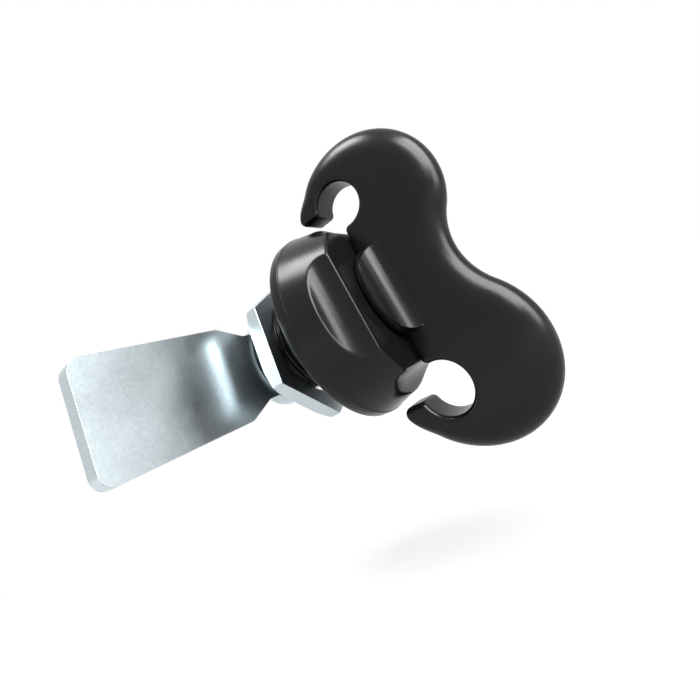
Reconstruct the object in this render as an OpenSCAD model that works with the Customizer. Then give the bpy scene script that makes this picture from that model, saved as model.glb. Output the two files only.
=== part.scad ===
// Padlockable wing-knob cam latch for a door or cabinet panel, in mm.
// Latch axes: z points out of the door along the knob's axis, y lies along the wing,
// x points away from the cam. as_mounted() stands the latch on an upright door:
// the front looks along -Y, the wing is upright along Z and the cam points along -X.

/* [Housing] */
// diameter of the head at the door
head_d = 34; // [33:0.1:40]
// diameter of the head's flat front face before the notches
head_front_d = 29; // [27:0.1:30]
// height of the head above the door
head_h = 10.4; // [9.5:0.1:10.8]
// height of the straight land at the head's rear edge
land_h = 2; // [1:0.1:3]
// diameter of the four shackle grooves in the head's rim
groove_d = 8.6; // [7.6:0.1:9]
// distance of the grooves' axes from the knob's axis
groove_y = 16.5; // [16:0.1:17]
// outside diameter of the threaded shank
shank_d = 19; // [17:0.1:22]
// distance across the shank's two flats
shank_flats = 16; // [15:0.1:18]
// length of the shank behind the door face
shank_len = 13.9; // [12.6:0.1:20]

/* [Nut] */
// hexagon nut, distance across its flats
nut_af = 24; // [22:0.1:30]
// thickness of the nut
nut_t = 3; // [2.5:0.1:5]
// room between the head and the nut, where the door panel goes
grip = 7.6; // [1:0.1:9]
// turn of the tightened nut about the shank
nut_turn = 22.5; // [0:0.5:59.5]

/* [Knob] */
// thickness of the wing, fully rounded along its outer edge
wing_t = 6.5; // [5:0.1:8]
// distance of each lobe's centre from the knob's axis
lobe_y = 14.3; // [14:0.1:15]
// height of the lobes' centres above the door
lobe_z = 16; // [15.5:0.1:16.5]
// outer radius of each lobe
lobe_r = 12.9; // [12.5:0.1:13.4]
// height of the dip in the middle of the crest
saddle_z = 24.1; // [23:0.1:25]
// diameter of the padlock loop in each hook
loop_d = 8.2; // [7.6:0.1:8.8]
// distance of the loop's axis from the knob's axis
loop_y = 16.9; // [16.5:0.1:17.4]
// height of the loop's axis above the door
loop_z = 12; // [11.6:0.1:12.4]
// distance of the hooks' flat tips from the knob's axis, clear of the head
tip_y = 17.4; // [17.2:0.1:17.8]
// fillet along the edges of the loop
loop_fillet = 0.5; // [0.3:0.1:0.7]
// diameter of the round foot that shows on either side of the wing
foot_d = 16.6; // [15:0.1:18]
// radius of the hollow sweep from the foot up to the wing
foot_sweep = 6.4; // [6:0.1:6.8]
// thickness of the foot
foot_t = 0.95; // [0.6:0.05:1.2]
// diameter of the spindle
spindle_d = 10; // [9.6:0.1:11]
// square drive at the spindle's end, across its flats
square_af = 7; // [6:0.1:7.1]

/* [O-ring] */
// cord diameter of the O-ring
ring_cord = 1.8; // [1.5:0.1:2]
// height of the O-ring above the door
ring_z = 4.5; // [4:0.1:6]

/* [Stop washer] */
// diameter of the stop washer
stop_d = 15.6; // [15:0.1:16]
// thickness of the stop washer
stop_t = 1.2; // [1:0.1:2]
// height of the lug that reaches into the shank
lug_h = 1.6; // [1:0.1:2]
// angle that the lug takes up
lug_deg = 30; // [20:1:40]
// angle through which the knob turns
turn_deg = 90; // [60:1:120]

/* [Cam] */
// distance from the knob's axis to the cam's tip
cam_len = 40.8; // [35:0.1:60]
// width of the cam's paddle and of its round hub
cam_w = 16.8; // [16:0.1:20]
// thickness of the cam's plate
cam_t = 2.5; // [2:0.1:3]
// width of the neck between the hub and the paddle
neck_w = 12.4; // [11.5:0.1:14]
// distance from the axis to the narrow end of the neck
neck_x = 8.3; // [8:0.1:10]
// distance from the axis to the paddle's shoulders
shoulder_x = 14.1; // [12:0.1:18]
// corner radius at the cam's tip
tip_r = 2.2; // [1:0.1:4]

/* [Cam screw] */
// thread diameter of the screw
screw_d = 6; // [5:0.1:6]
// length of the screw's thread under its head
screw_len = 12; // [10:0.1:14]
// screw head, distance across its flats
screw_af = 10; // [9:0.1:11]
// height of the screw's head
screw_head_h = 4; // [3.5:0.1:4.5]
// outside diameter of the plain washer
washer_d = 12; // [11:0.1:14]
// thickness of the plain washer
washer_t = 1.6; // [1:0.1:2]
// outside diameter of the spring washer
spring_d = 11.8; // [10.5:0.1:12]
// thickness of the spring washer
spring_t = 1.6; // [1.2:0.1:2]

/* [Fits] */
// radial room of the turning spindle in the housing
run_fit = 0.05; // [0.02:0.01:0.1]
// radial room of a screwed or slid-on piece
slide_fit = 0.05; // [0.02:0.01:0.1]
// gap between the head and the knob that turns in front of it
face_gap = 0.35; // [0.3:0.05:0.6]
// room on each side of the wing in the foot's slot
slot_fit = 0.02; // [0:0.01:0.05]
// end play of the stop washer behind the shank
end_play = 0.1; // [0.05:0.05:0.3]

/* [Hidden] */
$fn = 96;
eps = 0.01;

black = [0.05, 0.05, 0.055];
zinc = [0.72, 0.76, 0.78];
steel = [0.6, 0.62, 0.64];
rubber = [0.08, 0.08, 0.08];

// heights down the axis, from the front to the back
under_z = head_h + face_gap;
shank_z = -shank_len;
stop_z = shank_z - end_play;
cam_z = stop_z - stop_t;
washer_z = cam_z - cam_t;
spring_z = washer_z - washer_t;
screw_z = spring_z - spring_t;
// the square stops short of the cam's back, so that the screw clamps the cam
square_short = 0.2;
square_end_z = washer_z + square_short;
loop_r = loop_d / 2;
edge_r = wing_t / 2;
bore_r = spindle_d / 2 + run_fit;
ring_r = bore_r - run_fit - ring_cord / 2;
// the O-ring lies round the groove's floor with a hair of room
ring_seat = 0.05;
ring_groove_r = ring_r - ring_cord / 2 - ring_seat;
screw_hole_r = screw_d / 2 + slide_fit;
// room left in the spindle's hole past the screw's end
screw_hole_rest = 2;
screw_hole_len = screw_len - (washer_t + spring_t) - square_short + screw_hole_rest;
// the lug runs between the bore and the shank's flats, with a web of metal on either side
lug_web_in = 0.9;
lug_web_out = 0.65;
lug_in = bore_r + lug_web_in;
lug_out = shank_flats / 2 - lug_web_out;
lug_room = 0.15;
stop_slack_deg = 0.5;
// the saddle is the circle that touches both lobes from above and dips to saddle_z
saddle_drop = saddle_z - lobe_z;
saddle_r = (lobe_y * lobe_y + saddle_drop * saddle_drop - lobe_r * lobe_r)
           / (2 * (lobe_r - saddle_drop));
saddle_c = saddle_z + saddle_r;
saddle_half = atan(lobe_y / (saddle_c - lobe_z));
// centres of the small corner arcs: heel of the loop, toe and tip of the hook
lobe_c = [lobe_y, lobe_z];
loop_c = [loop_y, loop_z];
in_r = loop_fillet;
corner_more = 0.2;
corner_r = loop_fillet + corner_more;
tip_edge = 0.9;
tip_corner = 1.2;
// flat left on the hook's face where it is narrowest
hook_flat = 0.4;
hook_edge = min(edge_r, lobe_r - loop_r - norm(lobe_c - loop_c) - in_r - hook_flat);
hook_deg = -45;
crest_deg = 10;
// the wing's underside stands clear above the foot's, which faces the head
wing_lift = 0.15;
wing_z = under_z + wing_lift;
heel = [loop_y - sqrt(pow(loop_r + corner_r, 2) - pow(wing_z + corner_r - loop_z, 2)),
        wing_z + corner_r];
toe = [tip_y + corner_r,
       loop_z - sqrt(pow(loop_r + corner_r, 2) - pow(tip_y + corner_r - loop_y, 2))];
tip = [tip_y + tip_corner,
       lobe_z - sqrt(pow(lobe_r - tip_corner, 2) - pow(tip_y + tip_corner - lobe_y, 2))];
// the round of the outer edge leaves a narrow flat, so that no facet is empty
edge_flat = 0.05;
full_x = edge_r - edge_flat;
foot_rim = 0.5;
sweep_deg = 62;
ring_room = 0.2;
// the nut's and the screw head's rear corners are turned off: inset, reach and depth
nut_chamfer = [0.5, 2, 0.9];
screw_chamfer = [0, 1.2, 0.8];
// the spring washer's split: its place round the screw and its width
split_deg = 35;
split_w = 0.6;
wing_bend = 4;
far = 60;

// stands the latch on an upright door
module as_mounted() rotate([90, 0, 0]) children();

// the direction from one point to another, in degrees, and a direction of length 1
function to_deg(a, b) = atan2(b[1] - a[1], b[0] - a[0]);
function unit(v) = v / norm(v);

// a ring sector between two radii, from angle a0 to a1
module sector(r0, r1, h, a0, a1) rotate([0, 0, a0]) rotate_extrude(angle = a1 - a0)
    translate([r0, 0]) square([r1 - r0, h]);

// a shackle groove across the head's rim, under a loop
module shackle_groove(a) rotate([0, 0, a]) translate([groove_y, 0, head_h]) rotate([90, 0, 0])
    cylinder(h = 2 * far, d = groove_d, center = true);

module head_profile() polygon([[0, 0], [head_d / 2, 0], [head_d / 2, land_h],
    [head_front_d / 2, head_h], [0, head_h]]);

module housing() color(black) as_mounted() difference() {
    union() {
        rotate_extrude() head_profile();
        intersection() {
            translate([0, 0, shank_z]) cylinder(h = shank_len + eps, d = shank_d);
            cube([2 * far, shank_flats, 2 * far], center = true);
        }
    }
    for (a = [0 : 90 : 270]) shackle_groove(a);
    translate([0, 0, shank_z - eps]) cylinder(h = shank_len + head_h + 1, r = bore_r);
    // the window that lets the stop washer's lug turn
    translate([0, 0, shank_z - eps])
        sector(lug_in - lug_room, lug_out + lug_room, lug_h + lug_room + eps,
               90 - lug_deg / 2 - stop_slack_deg,
               90 + lug_deg / 2 + turn_deg + stop_slack_deg);
}

// half section that turns off the rear corners of a hexagon of that inner radius
module turned_off(r, h, c) polygon([[0, 0], [r + c[0], 0], [r + c[1], c[2]], [r + c[1], h], [0, h]]);

module hex_nut() color(zinc) as_mounted() translate([0, 0, -grip - nut_t]) difference() {
    intersection() {
        rotate([0, 0, nut_turn]) cylinder(h = nut_t, d = nut_af / cos(30), $fn = 6);
        rotate_extrude() turned_off(nut_af / 2, nut_t, nut_chamfer);
    }
    translate([0, 0, -1]) cylinder(h = nut_t + 2, r = shank_d / 2 + slide_fit);
}

// a point of an arc with its rounding: [y, z, inset of the rounding, its reach along x]
function arc_point(a, t) = let (
    f = a[3] + (a[4] - a[3]) * t,
    w = t * t * (3 - 2 * t)
) [a[0] + a[2] * cos(f), a[1] + a[2] * sin(f),
   a[5] + (a[6] - a[5]) * w, a[7] + (a[8] - a[7]) * w];

// the points of an arc, leaving out its last one, which starts the next arc
function arc_points(a) = [for (i = [0 : a[9] - 1]) arc_point(a, i / a[9])];

// half of the wing's outline, from the heel round the hook and up to the saddle: [centre y,
// centre z, radius, from angle, to angle, inset at both ends, reach at both ends, steps]
wing_arcs = [
    [heel[0], heel[1], corner_r, 270, 360 + to_deg(heel, loop_c), in_r, in_r, in_r, in_r, 4],
    [loop_y, loop_z, loop_r, 180 + to_deg(heel, loop_c), to_deg(loop_c, toe),
     in_r, in_r, in_r, in_r, 22],
    [toe[0], toe[1], corner_r, 180 + to_deg(loop_c, toe), 180, in_r, tip_edge, in_r, tip_edge, 4],
    [tip[0], tip[1], tip_corner, 180, 360 + to_deg(lobe_c, tip),
     tip_edge, tip_edge, tip_edge, tip_edge, 4],
    [lobe_y, lobe_z, lobe_r, to_deg(lobe_c, tip), hook_deg, tip_edge, hook_edge, tip_edge, full_x, 5],
    [lobe_y, lobe_z, lobe_r, hook_deg, crest_deg, hook_edge, edge_r, full_x, full_x, 7],
    [lobe_y, lobe_z, lobe_r, crest_deg, 90 + saddle_half, edge_r, edge_r, full_x, full_x, 14],
    [0, saddle_c, saddle_r, 270 + saddle_half, 270, edge_r, edge_r, full_x, full_x, 8]];
heel_steps = 8;
wing_half = concat([for (i = [0 : heel_steps - 1]) [heel[0] * i / heel_steps, wing_z, in_r, in_r]],
    [for (a = wing_arcs) each arc_points(a)], [[0, saddle_z, edge_r, full_x]]);
wing_last = len(wing_half) - 1;
wing_loop = concat(wing_half,
    [for (i = [wing_last - 1 : -1 : 1]) let (q = wing_half[i]) [-q[0], q[1], q[2], q[3]]]);

// the inward direction at a point of the closed outline, as long as an even inset needs
function inward(q, i) = let (
    n = len(q),
    a = q[(i + n - 1) % n], b = q[i], c = q[(i + 1) % n],
    u = unit([b[0] - a[0], b[1] - a[1]]), v = unit([c[0] - b[0], c[1] - b[1]]),
    m = [-u[1], u[0]], k = [-v[1], v[0]]
) (m + k) / (1 + m * k);

// the wing's section is swept round its outline: rounded, flat, and rounded again
wing_side = [for (i = [0 : wing_bend]) [-1, 90 * (wing_bend - i) / wing_bend],
             for (i = [0 : wing_bend]) [1, 90 * i / wing_bend]];

module wing() color(black) as_mounted() {
    n = len(wing_loop);
    k = len(wing_side);
    points = [for (i = [0 : n - 1]) let (q = wing_loop[i], d = inward(wing_loop, i))
        for (w = wing_side) let (e = q[2] * (1 - cos(w[1])))
        [w[0] * (edge_r - q[3] + q[3] * sin(w[1])), q[0] + d[0] * e, q[1] + d[1] * e]];
    sides = [for (i = [0 : n - 1], j = [0 : k - 2]) let (a = i * k + j, b = ((i + 1) % n) * k + j)
        each [[a, a + 1, b + 1], [a, b + 1, b]]];
    // both flat faces: the inner chain of points is laced to the outer one, from the
    // middle of the wing to the hooks' tips
    lace = [for (i = [0 : wing_last / 2 - 2])
        each [[i, i + 1, wing_last - i - 1], [i, wing_last - i - 1, wing_last - i]],
        [wing_last / 2 - 1, wing_last / 2, wing_last / 2 + 1]];
    caps = [for (t = lace) let (m = [for (i = t) (n - i) % n]) each
        [[t[2], t[1], t[0]] * k + [k - 1, k - 1, k - 1], t * k,
         m * k + [k - 1, k - 1, k - 1], [m[2], m[1], m[0]] * k]];
    polyhedron(points, concat(sides, caps));
}

// the round foot in front of the head: a thin disc with a hollow sweep up to the wing
module foot() translate([0, 0, under_z]) rotate_extrude() union() {
    square([foot_d / 2, foot_t]);
    difference() {
        square([foot_d / 2 - foot_rim, foot_t + foot_sweep * (1 - cos(sweep_deg))]);
        translate([foot_d / 2 - foot_rim, foot_t + foot_sweep]) circle(r = foot_sweep);
    }
}

module spindle() color(black) as_mounted() difference() {
    union() {
        foot();
        translate([0, 0, shank_z]) cylinder(h = shank_len + under_z + eps, d = spindle_d);
        translate([-square_af / 2, -square_af / 2, square_end_z])
            cube([square_af, square_af, shank_z - square_end_z + eps]);
    }
    // slot that the wing sits in
    translate([-edge_r - slot_fit, -far / 2, wing_z]) cube([wing_t + 2 * slot_fit, far, far]);
    // groove for the O-ring
    translate([0, 0, ring_z - ring_cord / 2 - ring_room]) difference() {
        cylinder(h = ring_cord + 2 * ring_room, r = spindle_d);
        translate([0, 0, -1]) cylinder(h = ring_cord + 2, r = ring_groove_r);
    }
    translate([0, 0, square_end_z - eps]) cylinder(h = screw_hole_len + eps, r = screw_hole_r);
}

module o_ring() color(rubber) as_mounted() translate([0, 0, ring_z]) rotate_extrude()
    translate([ring_r, 0]) circle(d = ring_cord);

module stop_washer() color(zinc) as_mounted() difference() {
    union() {
        translate([0, 0, cam_z]) cylinder(h = stop_t, d = stop_d);
        translate([0, 0, stop_z - eps])
            sector(lug_in, lug_out, lug_h + eps, 90 - lug_deg / 2, 90 + lug_deg / 2);
    }
    drive_square(cam_z - 1, stop_t + 2);
}

// the square hole that the spindle's end drives
module drive_square(z, h) translate([0, 0, z + h / 2])
    cube([square_af + 2 * slide_fit, square_af + 2 * slide_fit, h], center = true);

module cam_outline() difference() {
    union() {
        circle(d = cam_w);
        polygon([[0, neck_w / 2], [-neck_x, neck_w / 2], [-shoulder_x, cam_w / 2],
            [-cam_len + tip_r, cam_w / 2], [-cam_len + tip_r, -cam_w / 2],
            [-shoulder_x, -cam_w / 2], [-neck_x, -neck_w / 2], [0, -neck_w / 2]]);
        translate([-cam_len, -cam_w / 2 + tip_r]) square([tip_r + eps, cam_w - 2 * tip_r]);
        for (s = [-1, 1]) translate([-cam_len + tip_r, s * (cam_w / 2 - tip_r)]) circle(r = tip_r);
    }
    square(square_af + 2 * slide_fit, center = true);
}

module cam() color(zinc) as_mounted() translate([0, 0, washer_z]) linear_extrude(cam_t) cam_outline();

// a flat ring on the cam's screw, from z upwards
module screw_ring(z, h, d) translate([0, 0, z]) difference() {
    cylinder(h = h, d = d);
    translate([0, 0, -1]) cylinder(h = h + 2, r = screw_d / 2 + slide_fit);
}

module plain_washer() color(zinc) as_mounted() screw_ring(spring_z, washer_t, washer_d);

// split ring: the cut through one side is narrow
module spring_washer() color(steel) as_mounted() difference() {
    screw_ring(screw_z, spring_t, spring_d);
    rotate([0, 0, split_deg]) translate([0, -split_w / 2, screw_z - 1])
        cube([spring_d, split_w, spring_t + 2]);
}

module cam_screw() color(zinc) as_mounted() union() {
    translate([0, 0, screw_z - eps]) cylinder(h = screw_len + eps, d = screw_d);
    translate([0, 0, screw_z - screw_head_h]) intersection() {
        cylinder(h = screw_head_h, d = screw_af / cos(30), $fn = 6);
        rotate_extrude() turned_off(screw_af / 2, screw_head_h, screw_chamfer);
    }
}

housing();
hex_nut();
wing();
spindle();
o_ring();
stop_washer();
cam();
plain_washer();
spring_washer();
cam_screw();
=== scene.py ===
# Looks of a padlockable wing-knob cam latch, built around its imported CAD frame.
# Sizes of pieces are in millimetres, and MM turns them into the frame's metres. Row axes: -Y out
# of the door along the knob's axis, +Z up along the wing, -X along the cam.
import math

import bpy
import numpy as np
from mathutils import Matrix, Vector


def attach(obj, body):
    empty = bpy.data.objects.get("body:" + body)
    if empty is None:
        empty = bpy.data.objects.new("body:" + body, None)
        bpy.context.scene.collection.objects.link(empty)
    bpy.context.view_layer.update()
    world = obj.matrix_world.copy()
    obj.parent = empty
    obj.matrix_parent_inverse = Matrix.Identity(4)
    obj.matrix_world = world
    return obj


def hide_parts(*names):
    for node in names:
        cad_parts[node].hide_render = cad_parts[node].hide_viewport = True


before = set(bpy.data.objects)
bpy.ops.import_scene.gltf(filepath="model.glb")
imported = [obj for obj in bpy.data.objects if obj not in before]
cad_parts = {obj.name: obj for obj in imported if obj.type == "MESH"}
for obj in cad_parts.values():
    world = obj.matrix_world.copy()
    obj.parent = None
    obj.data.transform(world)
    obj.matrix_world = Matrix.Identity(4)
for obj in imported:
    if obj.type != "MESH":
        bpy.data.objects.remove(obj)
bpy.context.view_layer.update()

# Housing
# The fixed head and its shank, one zinc die casting with a satin black coat. The head tapers to
# its flat front and has four shackle grooves across its rim; the shank carries a fine thread
# with two flats and goes through the door from the front.
MM = 0.001
HEAD_R = 17.0
FRONT_R = 14.5
HEAD_H = 10.4
LAND_H = 2.0
LAND_STEP = 0.12
# Rings of the land's two rounded edges: radius past HEAD_R, and height from that edge
LAND_TOP = ((-0.03, -0.06), (0.0, -0.2))
LAND_FOOT = ((0.0, 0.25), (-0.07, 0.07), (-0.25, 0.0))
GROOVE_Y = 16.5
GROOVE_R = 4.3
GROOVE_SOFT = 0.14
NO_GROOVE = 99.0
RIM_R = 0.4
RIM_FROM = 15.0
SHANK_R = 9.5
SHANK_FLAT = 8.0
SHANK_LEN = 13.9
THREAD_PITCH = 1.0
THREAD_DEPTH = 0.5
FLAT_SOFT = 0.05
TINY = 1e-6
BORE_R = 5.05
POCKET_IN = 5.8
POCKET_OUT = 7.5
POCKET_DEPTH = 1.75
POCKET_FROM = 74.0
POCKET_TO = 196.0
AROUND = 432
FACE_RINGS = 10
RIM_RINGS = 6
SIDE_RINGS = 62
SHANK_RINGS = 113
HEAD_CREASE = 50.0
COAT_COLOUR = (0.003, 0.003, 0.0031, 1.0)
COAT_SPECULAR = 0.2
# Each cloud and grain is a noise's scale, detail and roughness; each dimple is a strength and a
# depth in metres
COAT_CLOUD = (160, 4, 0.6)
COAT_ROUGH = (0.22, 0.28)
COAT_GRAIN = (2400, 3, 0.5)
COAT_DIMPLE = (0.07, 0.0001)
NOISE_LOW = 0.3
NOISE_HIGH = 0.7


def soft_min(a, b, w):
    """The smaller of two lengths, rounded over about w where they cross: half of their sum less
    the root of their squared difference plus w squared."""
    return 0.5 * (a + b - np.sqrt((a - b) ** 2 + w * w))


def head_radius(angle, z):
    """Radius of the head's side at an angle and height: a straight taper above the land, cut by
    four cylinders that lie across the rim with their axes at the front's height."""
    share = np.clip((z - LAND_H) / (HEAD_H - LAND_H), 0, 1)
    taper = HEAD_R - LAND_STEP - (HEAD_R - LAND_STEP - FRONT_R) * share + 0 * angle
    turned = np.mod(angle + math.pi / 4, math.pi / 2) - math.pi / 4
    bite = GROOVE_Y - np.sqrt(np.maximum(GROOVE_R ** 2 - (HEAD_H - z) ** 2, 0))
    groove = np.where(HEAD_H - z < GROOVE_R, bite / np.cos(turned), NO_GROOVE)
    return soft_min(taper, groove, GROOVE_SOFT)


def shank_radius(angle, z):
    """Radius of the shank: a cosine ridge that climbs one pitch a turn, cut by two flats."""
    phase = 2 * math.pi * z / THREAD_PITCH - angle
    ridge = SHANK_R - THREAD_DEPTH * (0.5 - 0.5 * np.cos(phase))
    flat = SHANK_FLAT / np.maximum(np.abs(np.sin(angle)), TINY)
    return soft_min(ridge, flat, FLAT_SOFT)


def housing_grid():
    """Radius and height of every ring round the knob's axis: over the front face, round its rim,
    down the head's side and land, along the shank, over its rear face with the pocket that the
    stop washer's lug turns in, and back to the bore."""
    angle = np.linspace(0, 2 * math.pi, AROUND, endpoint=False)[None]
    flat = np.zeros_like(angle)
    front = head_radius(angle, HEAD_H + flat)
    t = np.linspace(0, 1, FACE_RINGS)[:, None]
    face = BORE_R + (front - RIM_R - BORE_R) * t
    face_z = HEAD_H + flat + 0 * t
    bend = np.radians(np.linspace(RIM_FROM, 90, RIM_RINGS))[:, None]
    rim_z = HEAD_H - RIM_R * (1 - np.cos(bend)) + flat
    rim = head_radius(angle, rim_z) - RIM_R * (1 - np.sin(bend))
    side_z = np.linspace(HEAD_H - RIM_R, LAND_H, SIDE_RINGS)[1:, None] + flat
    side = head_radius(angle, side_z)
    land = np.concatenate([np.array(LAND_TOP) + (HEAD_R, LAND_H), [(HEAD_R, LAND_H / 2)],
                           np.array(LAND_FOOT) + (HEAD_R, 0)])
    shank_z = np.linspace(0, -SHANK_LEN, SHANK_RINGS)[:, None] + flat
    shank = shank_radius(angle, shank_z)
    turn = np.degrees(angle)
    sunk = POCKET_DEPTH * ((turn > POCKET_FROM) & (turn < POCKET_TO))
    rear = np.array([POCKET_OUT, POCKET_OUT, POCKET_IN, POCKET_IN, BORE_R])[:, None] + flat
    rear_z = np.concatenate([flat, sunk, sunk, flat, flat]) - SHANK_LEN
    radius = np.concatenate([face, rim, side, land[:, :1] + flat, shank, rear])
    height = np.concatenate([face_z, rim_z, side_z, land[:, 1:] + flat, shank_z, rear_z])
    return angle, radius, height


def ring_faces(rows, cols):
    """Four-sided faces of a grid of rows by cols points that is closed both ways."""
    i, j = np.meshgrid(np.arange(rows), np.arange(cols), indexing="ij")
    low, high = i * cols, (i + 1) % rows * cols
    k = (j + 1) % cols
    return np.stack([low + j, high + j, high + k, low + k], axis=2).reshape(-1, 4)


def row_axes(x, y, z):
    """Latch axes (y along the wing, z out of the door) turned into row axes: x, -z, y in metres."""
    return np.stack([x, -z, y], axis=-1).reshape(-1, 3) * MM


def cast_piece(name, points, faces, material, crease_deg):
    """A smooth-shaded mesh piece whose edges sharper than the crease stay crisp."""
    mesh = bpy.data.meshes.new(name)
    mesh.from_pydata(points.tolist(), [], faces)
    mesh.polygons.foreach_set("use_smooth", np.ones(len(mesh.polygons), dtype=bool))
    mesh.set_sharp_from_angle(angle=math.radians(crease_deg))
    mesh.materials.append(material)
    piece = bpy.data.objects.new(name, mesh)
    bpy.context.scene.collection.objects.link(piece)
    return piece


def noise(tree, place, scale, detail, rough):
    """A noise texture on the piece's own coordinates."""
    node = tree.nodes.new("ShaderNodeTexNoise")
    node.inputs["Scale"].default_value = scale
    node.inputs["Detail"].default_value = detail
    node.inputs["Roughness"].default_value = rough
    tree.links.new(place.outputs["Object"], node.inputs["Vector"])
    return node


def vary(tree, source, target, low, high):
    """Spreads the middle of a noise between two values of a shader's socket."""
    node = tree.nodes.new("ShaderNodeMapRange")
    node.inputs["From Min"].default_value = NOISE_LOW
    node.inputs["From Max"].default_value = NOISE_HIGH
    node.inputs["To Min"].default_value = low
    node.inputs["To Max"].default_value = high
    tree.links.new(source.outputs["Fac"], node.inputs["Value"])
    tree.links.new(node.outputs["Result"], target)


def dimple(tree, source, shader, strength, depth):
    """A fine relief from a noise, as deep as the given metres."""
    node = tree.nodes.new("ShaderNodeBump")
    node.inputs["Strength"].default_value = strength
    node.inputs["Distance"].default_value = depth
    tree.links.new(source.outputs["Fac"], node.inputs["Height"])
    tree.links.new(node.outputs["Normal"], shader.inputs["Normal"])


def coating(name):
    """A new material with its node tree, its shader and the piece's coordinates."""
    made = bpy.data.materials.new(name)
    made.use_nodes = True
    tree = made.node_tree
    return made, tree, tree.nodes["Principled BSDF"], tree.nodes.new("ShaderNodeTexCoord")


coat, tree, shader, place = coating("satin_black_coat")
shader.inputs["Base Color"].default_value = COAT_COLOUR
shader.inputs["Specular IOR Level"].default_value = COAT_SPECULAR
vary(tree, noise(tree, place, *COAT_CLOUD), shader.inputs["Roughness"], *COAT_ROUGH)
dimple(tree, noise(tree, place, *COAT_GRAIN), shader, *COAT_DIMPLE)

angle, radius, height = housing_grid()
points = row_axes(radius * np.cos(angle), radius * np.sin(angle), height)
faces = ring_faces(*radius.shape).tolist()
housing = cast_piece("housing_casting", points, faces, coat, HEAD_CREASE)
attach(housing, "housing")
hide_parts("housing")

# O-ring
# Rubber ring that sits in the spindle's groove and seals the bore; it is rolled on before the
# spindle goes in.
RUBBER_COLOUR = (0.009, 0.009, 0.009, 1.0)
RUBBER_CLOUD = (900, 3, 0.5)
RUBBER_ROUGH = (0.6, 0.8)
RUBBER_GRAIN = (5000, 2, 0.5)
RUBBER_DIMPLE = (0.1, 0.0001)
rubber, tree, shader, place = coating("black_rubber")
shader.inputs["Base Color"].default_value = RUBBER_COLOUR
vary(tree, noise(tree, place, *RUBBER_CLOUD), shader.inputs["Roughness"], *RUBBER_ROUGH)
dimple(tree, noise(tree, place, *RUBBER_GRAIN), shader, *RUBBER_DIMPLE)


def dress(node, material):
    """Gives a CAD node one material and hands back its object."""
    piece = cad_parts[node]
    piece.data.materials.clear()
    piece.data.materials.append(material)
    return piece


dress("o_ring", rubber)

# Spindle
# Coated casting with a round foot in front of the head and a square drive at its rear end. The
# foot shows as a lens on either side of the wing.
RIM_EASE = 0.2
WELD_GAP = 0.001
EASE_STEPS = 3
EASE_ANGLE = 32.0


def ease_edges(piece, width):
    """Joins a piece's loose triangles and rounds its sharp edges by that many millimetres."""
    piece.modifiers.new("join", "WELD").merge_threshold = WELD_GAP * MM
    bevel = piece.modifiers.new("ease", "BEVEL")
    bevel.width = width * MM
    bevel.segments = EASE_STEPS
    bevel.limit_method = "ANGLE"
    bevel.angle_limit = math.radians(EASE_ANGLE)
    bevel.use_clamp_overlap = True


ease_edges(dress("spindle", coat), RIM_EASE)

# Wing
# The ram's-horn grip, a flat casting seated in the foot's slot. Its two lobes curl into hooks
# that take a padlock's shackle; the outer edge is fully rounded, the loops' edges are eased.
WING_T = 6.5
HALF_T = WING_T / 2
FACE_GAP = 0.35
WING_LIFT = 0.15
WING_Z = HEAD_H + FACE_GAP + WING_LIFT
LOBE = (14.3, 16.0)
LOBE_R = 12.9
SADDLE_Z = 24.1
LOOP = (16.9, 12.0)
LOOP_R = 4.1
LOOP_EASE = 0.8
CORNER_R = 1.0
TIP_Y = 17.4
TIP_EASE = 1.0
TIP_CORNER = 1.2
HOOK_FLAT = 0.4
HOOK_DEG = -45.0
CREST_DEG = 10.0
CREST_STRIP = 0.01
FULL_X = HALF_T - CREST_STRIP
ROUND_IN = 5.2
FINE = 6
UNDER_STEPS = 8
CORNER_STEPS = 4
LOOP_STEPS = 22
HOOK_STEPS = 5
FLANK_STEPS = 7
CREST_STEPS = 14
SADDLE_STEPS = 8
BEND_STEPS = 12
WING_CREASE = 60.0


def heading(a, b):
    """Direction from point a to point b, in degrees."""
    return math.degrees(math.atan2(b[1] - a[1], b[0] - a[0]))


def arc(centre, r, a0, a1, inset, reach, steps):
    """Rows (y, z, inset, reach) along an arc, without its end: centre plus r times (cos, sin) of
    an angle that runs evenly, with inset and reach eased from their first to their second value."""
    t = np.arange(steps * FINE) / (steps * FINE)
    a = np.radians(a0 + (a1 - a0) * t)
    w = t * t * (3 - 2 * t)
    return np.stack([centre[0] + r * np.cos(a), centre[1] + r * np.sin(a),
                     inset[0] + (inset[1] - inset[0]) * w,
                     reach[0] + (reach[1] - reach[0]) * w], axis=1)


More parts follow.
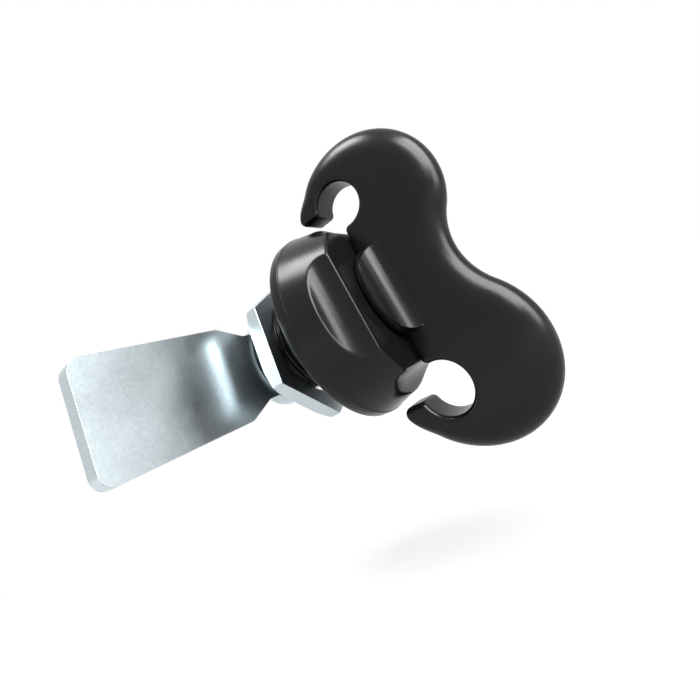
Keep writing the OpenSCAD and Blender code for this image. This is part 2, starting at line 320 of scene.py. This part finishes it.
def wing_half():
    """Half of the wing's outline in its (y, z) plane: underside, heel, loop, toe, tip, lobe and
    saddle. The saddle is the circle that touches both lobes and dips to SADDLE_Z."""
    drop = SADDLE_Z - LOBE[1]
    saddle_r = (LOBE[0] ** 2 + drop ** 2 - LOBE_R ** 2) / (2 * (LOBE_R - drop))
    saddle = (0.0, SADDLE_Z + saddle_r)
    half = math.degrees(math.atan(LOBE[0] / (saddle[1] - LOBE[1])))
    near = LOOP_R + CORNER_R
    heel_z = WING_Z + CORNER_R
    heel = (LOOP[0] - math.sqrt(near ** 2 - (heel_z - LOOP[1]) ** 2), heel_z)
    toe_y = TIP_Y + CORNER_R
    toe = (toe_y, LOOP[1] - math.sqrt(near ** 2 - (toe_y - LOOP[0]) ** 2))
    tip_y = TIP_Y + TIP_CORNER
    tip = (tip_y, LOBE[1] - math.sqrt((LOBE_R - TIP_CORNER) ** 2 - (tip_y - LOBE[0]) ** 2))
    hook = min(HALF_T, LOBE_R - LOOP_R - math.dist(LOBE, LOOP) - LOOP_EASE - HOOK_FLAT)
    to_loop, to_toe, to_tip = heading(heel, LOOP), heading(LOOP, toe), heading(LOBE, tip)
    ease, tips = (LOOP_EASE, LOOP_EASE), (TIP_EASE, TIP_EASE)
    turn, round_edge, full = (LOOP_EASE, TIP_EASE), (ROUND_IN, ROUND_IN), (FULL_X, FULL_X)
    t = np.arange(UNDER_STEPS * FINE) / (UNDER_STEPS * FINE)
    under = np.stack([heel[0] * t, WING_Z + 0 * t, LOOP_EASE + 0 * t, LOOP_EASE + 0 * t], axis=1)
    return np.concatenate([
        under,
        arc(heel, CORNER_R, 270, 360 + to_loop, ease, ease, CORNER_STEPS),
        arc(LOOP, LOOP_R, 180 + to_loop, to_toe, ease, ease, LOOP_STEPS),
        arc(toe, CORNER_R, 180 + to_toe, 180, turn, turn, CORNER_STEPS),
        arc(tip, TIP_CORNER, 180, 360 + to_tip, tips, tips, CORNER_STEPS),
        arc(LOBE, LOBE_R, to_tip, HOOK_DEG, (TIP_EASE, hook), (TIP_EASE, FULL_X), HOOK_STEPS),
        arc(LOBE, LOBE_R, HOOK_DEG, CREST_DEG, (hook, ROUND_IN), full, FLANK_STEPS),
        arc(LOBE, LOBE_R, CREST_DEG, 90 + half, round_edge, full, CREST_STEPS),
        arc(saddle, saddle_r, 270 + half, 270, round_edge, full, SADDLE_STEPS),
        [[0.0, SADDLE_Z, ROUND_IN, FULL_X]]])


def wing_surface():
    """The section carried round the outline. At bend v a point lies inset * (1 - cos v) inside
    the outline and half the thickness - reach * (1 - sin v) off the middle plane. The last
    points on either side bound the two flat faces."""
    half = wing_half()
    line = np.concatenate([half, half[-2:0:-1] * (-1, 1, 1, 1)])
    n = len(line)
    step = line[:, :2] - np.roll(line[:, :2], 1, axis=0)
    step /= np.linalg.norm(step, axis=1, keepdims=True)
    left = np.stack([-step[:, 1], step[:, 0]], axis=1)
    after = np.roll(left, -1, axis=0)
    inward = (left + after) / (1 + (left * after).sum(axis=1, keepdims=True))
    quarter = np.radians(np.linspace(0, 90, BEND_STEPS + 1))
    bend = np.concatenate([quarter[::-1], quarter])
    side = np.repeat([-1.0, 1.0], BEND_STEPS + 1)
    inset = line[:, 2:3] * (1 - np.cos(bend))
    x = side * (HALF_T - line[:, 3:4] * (1 - np.sin(bend)))
    y = line[:, 0:1] + inward[:, 0:1] * inset
    z = line[:, 1:2] + inward[:, 1:2] * inset
    rows = len(bend)
    i, j = np.meshgrid(np.arange(n), np.arange(rows - 1), indexing="ij")
    a, b = i * rows + j, (i + 1) % n * rows + j
    edge = np.stack([a, b, b + 1, a + 1], axis=2).reshape(-1, 4)
    rim = np.arange(n) * rows
    flats = [(rim + rows - 1).tolist(), rim[::-1].tolist()]
    return row_axes(x, y, z), edge.tolist() + flats, len(edge)


points, faces, edge_count = wing_surface()
wing = cast_piece("wing_casting", points, faces, coat, WING_CREASE)
wing.data.polygons.foreach_set("use_smooth", np.arange(len(faces)) < edge_count)
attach(wing, "knob")
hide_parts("wing")

# Foot sweeps
# Cast fillets where the foot runs up to the wing, one on either side and of one casting with the
# foot. Each keeps its section along the wing and is cut off by the foot's round edge.
FOOT_R = 8.25
FOOT_Z = 11.78
SWEEP_W = 4.4
SWEEP_H = 3.2
SWEEP_ROOT = 0.5
SWEEP_SINK = 0.3
SWEEP_ROWS = 97
SWEEP_STEPS = 25
SWEEP_EASE = 0.22
SWEEP_CREASE = 50.0


def foot_sweep(side):
    """A section carried along the wing. From the wing's face it falls along a hollow quarter
    ellipse, height times one less the root of 1 - (1 - d) squared, out to the foot's circle."""
    reach = math.sqrt(FOOT_R ** 2 - HALF_T ** 2)
    y = np.linspace(-reach, reach, SWEEP_ROWS)[:, None]
    across = np.linspace(0, 1, SWEEP_STEPS)[None]
    rim = np.sqrt(FOOT_R ** 2 - y ** 2)
    x = HALF_T + (rim - HALF_T) * across
    d = np.clip((x - HALF_T) / SWEEP_W, 0, 1)
    z = FOOT_Z + SWEEP_H * (1 - np.sqrt(1 - (1 - d) ** 2))
    root = np.full_like(y, HALF_T - SWEEP_ROOT)
    low = np.full_like(y, FOOT_Z - SWEEP_SINK)
    x = side * np.concatenate([root, root, x, rim], axis=1)
    z = np.concatenate([low, z[:, :1], z, low], axis=1)
    cols = x.shape[1]
    i, j = np.meshgrid(np.arange(SWEEP_ROWS - 1), np.arange(cols), indexing="ij")
    a, b = i * cols, (i + 1) * cols
    k = (j + 1) % cols
    skin = np.stack([a + j, b + j, b + k, a + k], axis=2).reshape(-1, 4)[:, ::-side]
    first = np.arange(cols)
    last = first[::-1] + (SWEEP_ROWS - 1) * cols
    ends = [first[::-side].tolist(), last[::-side].tolist()]
    return row_axes(x, y + 0 * x, z), skin.tolist() + ends


for hand, side in (("left", -1), ("right", 1)):
    sweep = cast_piece("foot_sweep_" + hand, *foot_sweep(side), coat, SWEEP_CREASE)
    ease_edges(sweep, SWEEP_EASE)
    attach(sweep, "knob")

# Hexagon nut
# Thin steel nut with bright zinc plating, screwed along the shank to clamp the door against the
# head. The plating is a cool pale metal with a faint cloudy spangle and a fine grain.
NUT_EASE = 0.15
FULL_METAL = 1.0
ZINC_DARK = (0.45, 0.515, 0.545, 1.0)
ZINC_PALE = (0.56, 0.625, 0.645, 1.0)
ZINC_SPANGLE = (2200, 5, 0.7)
SPANGLE_LOW = 0.32
SPANGLE_HIGH = 0.68
ZINC_CLOUD = (150, 3, 0.5)
ZINC_ROUGH = (0.27, 0.34)
ZINC_GRAIN = (3000, 3, 0.55)
ZINC_DIMPLE = (0.04, 0.0001)
zinc, tree, shader, place = coating("zinc_plating")
shader.inputs["Metallic"].default_value = FULL_METAL
spangle = noise(tree, place, *ZINC_SPANGLE)
tint = tree.nodes.new("ShaderNodeValToRGB")
tint.color_ramp.elements[0].position = SPANGLE_LOW
tint.color_ramp.elements[0].color = ZINC_DARK
tint.color_ramp.elements[1].position = SPANGLE_HIGH
tint.color_ramp.elements[1].color = ZINC_PALE
tree.links.new(spangle.outputs["Fac"], tint.inputs["Fac"])
tree.links.new(tint.outputs["Color"], shader.inputs["Base Color"])
vary(tree, noise(tree, place, *ZINC_CLOUD), shader.inputs["Roughness"], *ZINC_ROUGH)
dimple(tree, noise(tree, place, *ZINC_GRAIN), shader, *ZINC_DIMPLE)
ease_edges(dress("hex_nut", zinc), NUT_EASE)

# Stop washer
# Plated steel washer on the spindle's square. Its lug runs in the pocket of the shank's rear face
# and stops the knob after a quarter turn.
STOP_EASE = 0.1
ease_edges(dress("stop_washer", zinc), STOP_EASE)

# Cam
# Flat cam stamped from plated steel strip, driven by the spindle's square. The press rounds its
# edges over.
CAM_EASE = 0.45
ease_edges(dress("cam", zinc), CAM_EASE)

# Washers and screw
# A plain washer, a split spring washer and a hexagon screw hold the cam on the spindle's end. The
# split washer is bare spring steel, the other two are plated.
WASHER_EASE = 0.12
SPRING_EASE = 0.1
SCREW_EASE = 0.12
SPRING_COLOUR = (0.36, 0.37, 0.38, 1.0)
SPRING_CLOUD = (900, 4, 0.6)
SPRING_ROUGH = (0.28, 0.42)
SPRING_GRAIN = (3000, 3, 0.5)
SPRING_DIMPLE = (0.06, 0.0001)
spring_steel, tree, shader, place = coating("spring_steel")
shader.inputs["Base Color"].default_value = SPRING_COLOUR
shader.inputs["Metallic"].default_value = FULL_METAL
vary(tree, noise(tree, place, *SPRING_CLOUD), shader.inputs["Roughness"], *SPRING_ROUGH)
dimple(tree, noise(tree, place, *SPRING_GRAIN), shader, *SPRING_DIMPLE)
ease_edges(dress("plain_washer", zinc), WASHER_EASE)
ease_edges(dress("spring_washer", spring_steel), SPRING_EASE)
ease_edges(dress("cam_screw", zinc), SCREW_EASE)

# Floor and room
# A plain pale floor just below the reach of the turned cam, in a white room. Camera, mirror and
# glass rays see the room white; near the part the floor glows a little below white, so that it
# keeps the part's shadow.
CAM_REACH = 40.8
FLOOR_GAP = 0.5
FLOOR_HALF = 0.6
FLOOR_CREASE = 60.0
FLOOR_COLOUR = (0.2, 0.2, 0.2, 1.0)
GLOW_NEAR = 0.56
GLOW_FAR = 1.0
GLOW_REACH = 0.16
ROOM_DIM = (0.30, 0.30, 0.31, 1.0)
ROOM_WHITE = (1.0, 1.0, 1.0, 1.0)


def seen_rays(tree):
    """A socket that is 1 for camera, glossy and transmission rays and 0 for the rest."""
    rays = tree.nodes.new("ShaderNodeLightPath")
    total = rays.outputs["Is Camera Ray"]
    for kind in ("Is Glossy Ray", "Is Transmission Ray"):
        most = tree.nodes.new("ShaderNodeMath")
        most.operation = "MAXIMUM"
        tree.links.new(total, most.inputs[0])
        tree.links.new(rays.outputs[kind], most.inputs[1])
        total = most.outputs["Value"]
    return total


pale = bpy.data.materials.new("pale_floor")
pale.use_nodes = True
tree = pale.node_tree
tree.nodes.remove(tree.nodes["Principled BSDF"])
matt = tree.nodes.new("ShaderNodeBsdfDiffuse")
matt.inputs["Color"].default_value = FLOOR_COLOUR
glow = tree.nodes.new("ShaderNodeEmission")
place = tree.nodes.new("ShaderNodeTexCoord")
spread = tree.nodes.new("ShaderNodeMapping")
spread.inputs["Scale"].default_value = (1 / GLOW_REACH, 1 / GLOW_REACH, 1 / GLOW_REACH)
closeness = tree.nodes.new("ShaderNodeTexGradient")
closeness.gradient_type = "SPHERICAL"
fade = tree.nodes.new("ShaderNodeMapRange")
fade.inputs["To Min"].default_value = GLOW_FAR
fade.inputs["To Max"].default_value = GLOW_NEAR
level = tree.nodes.new("ShaderNodeMath")
level.operation = "MULTIPLY"
tree.links.new(place.outputs["Object"], spread.inputs["Vector"])
tree.links.new(spread.outputs["Vector"], closeness.inputs["Vector"])
tree.links.new(closeness.outputs["Fac"], fade.inputs["Value"])
tree.links.new(seen_rays(tree), level.inputs[0])
tree.links.new(fade.outputs["Result"], level.inputs[1])
tree.links.new(level.outputs["Value"], glow.inputs["Strength"])
both = tree.nodes.new("ShaderNodeAddShader")
tree.links.new(matt.outputs["BSDF"], both.inputs[0])
tree.links.new(glow.outputs["Emission"], both.inputs[1])
tree.links.new(both.outputs["Shader"], tree.nodes["Material Output"].inputs["Surface"])
floor_z = -(CAM_REACH + FLOOR_GAP) * MM
corners = np.array([[-1, -1], [1, -1], [1, 1], [-1, 1]]) * FLOOR_HALF
floor_points = np.concatenate([corners, np.full((len(corners), 1), floor_z)], axis=1)
floor = cast_piece("floor", floor_points, [(0, 1, 2, 3)], pale, FLOOR_CREASE)

room = bpy.data.worlds.new("white_room")
room.use_nodes = True
tree = room.node_tree
dim = tree.nodes["Background"]
dim.inputs["Color"].default_value = ROOM_DIM
white = tree.nodes.new("ShaderNodeBackground")
white.inputs["Color"].default_value = ROOM_WHITE
mixed = tree.nodes.new("ShaderNodeMixShader")
tree.links.new(seen_rays(tree), mixed.inputs["Fac"])
tree.links.new(dim.outputs["Background"], mixed.inputs[1])
tree.links.new(white.outputs["Background"], mixed.inputs[2])
tree.links.new(mixed.outputs["Shader"], tree.nodes["World Output"].inputs["Surface"])
bpy.context.scene.world = room

# Camera
# Fitted as a pinhole camera to the nut, the head's rims, the cam's edges and the wing's outline.
# The shift stands for the picture's off-centre crop.
EYE = Vector((-67.65, -38.21, -10.45)) * MM
RIGHT = Vector((0.5894, -0.6789, -0.4378))
UP = Vector((0.0077, -0.5373, 0.8434))
BACK = Vector((-0.8078, -0.5005, -0.3115))
LENS = 22.0
SENSOR = 36.0
SHIFT_X = 0.088
SHIFT_Y = -0.1286
NEAREST = 0.005
view = bpy.data.cameras.new("camera")
view.lens = LENS
view.sensor_width = SENSOR
view.shift_x = SHIFT_X
view.shift_y = SHIFT_Y
view.clip_start = NEAREST
camera = bpy.data.objects.new("camera", view)
camera.matrix_world = Matrix.Translation(EYE) @ Matrix((RIGHT, UP, BACK)).transposed().to_4x4()
bpy.context.scene.collection.objects.link(camera)
bpy.context.scene.camera = camera


# Soft boxes
# Square lamps placed by the picture's own directions, to its right, up, and towards the viewer.
# Two light the wing's crest and lobes, and one the head's upper side.
def soft_box(name, across, high, near, size, power):
    """A square lamp at that place in metres along the picture's axes, aimed at the latch."""
    lamp = bpy.data.lights.new(name, "AREA")
    lamp.shape = "SQUARE"
    lamp.size = size
    lamp.energy = power
    piece = bpy.data.objects.new(name, lamp)
    place = RIGHT * across + UP * high + BACK * near
    turn = (-place).to_track_quat("-Z", "Y").to_matrix().to_4x4()
    piece.matrix_world = Matrix.Translation(place) @ turn
    bpy.context.scene.collection.objects.link(piece)


soft_box("crest_light", across=0.06, high=0.35, near=0.20, size=0.28, power=5.0)
soft_box("head_light", across=-0.24, high=0.31, near=-0.05, size=0.14, power=1.6)
soft_box("neck_light", across=0.22, high=0.22, near=0.26, size=0.16, power=1.1)
bpy.context.scene.view_settings.view_transform = "Standard"
